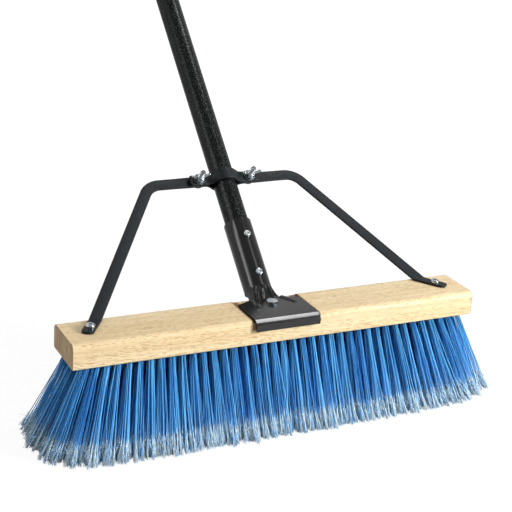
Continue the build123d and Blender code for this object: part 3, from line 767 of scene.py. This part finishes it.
hub_turn = np.radians(np.linspace(0, 360, 41)[:-1])[None, :]
for side_sign, side_name in ((-1, "left"), (1, "right")):
    hub = on_nut(hub_radius * np.cos(hub_turn), hub_rise, hub_radius * np.sin(hub_turn), side_sign)
    wings = [(on_nut(*wing(direction), side_sign), "tube") for direction in (-1, 1)]
    nut = skin(f"wing_nut_{side_name}.shape", (hub, "ring"), *wings)
    place_piece(nut, zinc, f"wing_nut_{side_name}", "zinc", f"wing_nut_{side_name}")


# Foot screws: two zinc-plated pan-head wood screws, one through each foot of the brace into the block.
# They keep their CAD shape, with its cross slots.
dress(zinc, "brace_foot_screws")


# Studio: a plain pale floor under the broom and soft light all round, with a large soft lamp to the front right.
# The camera is at the photograph's viewing angle.
white_light, floor_grey, floor_half = (1, 1, 1, 1), (0.66, 0.66, 0.66, 1), 15
floor_glow, near_glow, near_end, far_start, front_light, back_light = 1.08, 0.86, 0.35, 0.9, 0.22, 0.62
view_turn, view_down, view_roll = np.radians((-27.17001397, 20.57299441, 3.84375601))
view_spot, focal_pixels, picture_pixels, sensor = (-0.5902, -1.0992, 0.63886), 1300, 512, 36.0

floor_mesh = bpy.data.meshes.new("floor")
floor_corners = [(i * floor_half, j * floor_half, 0) for i, j in ((-1, -1), (1, -1), (1, 1), (-1, 1))]
floor_mesh.from_pydata(floor_corners, [], [(0, 1, 2, 3)])
floor = bpy.data.objects.new("floor", floor_mesh)
bpy.context.collection.objects.link(floor)
floor_paint, place = finish("floor_paint")
seen = place.node("LightPath", output="Is Camera Ray")
away = place.node("VectorMath", {"operation": "LENGTH"}, {0: place}, "Value").step(near_end, far_start)
glow = place.node("Emission", {}, {"Color": white_light, "Strength": floor_glow})
matt = place.node("BsdfDiffuse", {}, {"Color": floor_grey})
mixed = place.node("MixShader", {}, {0: seen * (away * (1 - near_glow) + near_glow), 1: matt, 2: glow})
place.node("OutputMaterial", {}, {"Surface": mixed})
floor_mesh.materials.append(floor_paint)

world = bpy.data.worlds.new("studio")
world.use_nodes = True
world.node_tree.nodes.clear()
sky = Wire(world.node_tree)
seen = sky.node("LightPath", output="Is Camera Ray")
to_back = sky.node("SeparateXYZ", {}, {0: sky.node("TexCoord", output="Object")}, "Y").step(-0.3, 0.8)
soft_light = to_back * (back_light - front_light) + front_light
soft = sky.node("Background", {}, {"Color": white_light, "Strength": soft_light})
plain = sky.node("Background", {}, {"Color": white_light, "Strength": 1.0})
sky.node("OutputWorld", {}, {"Surface": sky.node("MixShader", {}, {0: seen, 1: soft, 2: plain})})
bpy.context.scene.world = world


def stand(thing, right, up, back, spot):
    """Stands a lamp or camera at a spot, looking away from back, and links it."""
    thing.matrix_world = Matrix(np.vstack([np.column_stack([right, up, back, spot]), (0, 0, 0, 1)]))
    bpy.context.collection.objects.link(thing)


def lamp(name, spot, target, wide, high, watts):
    """A flat soft lamp at a spot, turned to face a target."""
    made = bpy.data.objects.new(name, bpy.data.lights.new(name, "AREA"))
    made.data.shape = "RECTANGLE"
    made.data.size = wide
    made.data.size_y = high
    made.data.energy = watts
    back = np.array(spot) - np.array(target)
    back = back / np.linalg.norm(back)
    right = np.cross((0, 0, 1), back)
    right = right / np.linalg.norm(right)
    stand(made, right, np.cross(back, right), back, spot)


lamp("key", (1.58, -1.42, 0.9), (0, 0, 0.12), 0.5, 0.7, 69)
lamp("overhead", (0.92, 0.41, 2.0), (0.92, 0.40, 0.16), 0.4, 0.5, 7.3)
lamp("streak", (0.88, -0.62, 1.98), (0.88, 0.0, 0.16), 0.5, 0.35, 0.9)
lamp("left_strip", (-1.70, 0.10, 1.30), (0, 0.06, 0.16), 0.4, 1.2, 5)

level = np.cos(view_down)
back = np.array([np.sin(view_turn) * level, -np.cos(view_turn) * level, np.sin(view_down)])
right = np.array([np.cos(view_turn), np.sin(view_turn), 0])
up = np.cross(back, right)
rolled_right = np.cos(view_roll) * right + np.sin(view_roll) * up
rolled_up = np.cos(view_roll) * up - np.sin(view_roll) * right
camera = bpy.data.objects.new("camera", bpy.data.cameras.new("camera"))
stand(camera, rolled_right, rolled_up, back, view_spot)
camera.data.sensor_width = sensor
camera.data.lens = sensor * focal_pixels / picture_pixels
camera.data.clip_end = 100
bpy.context.scene.camera = camera
bpy.context.scene.view_settings.view_transform = "Standard"
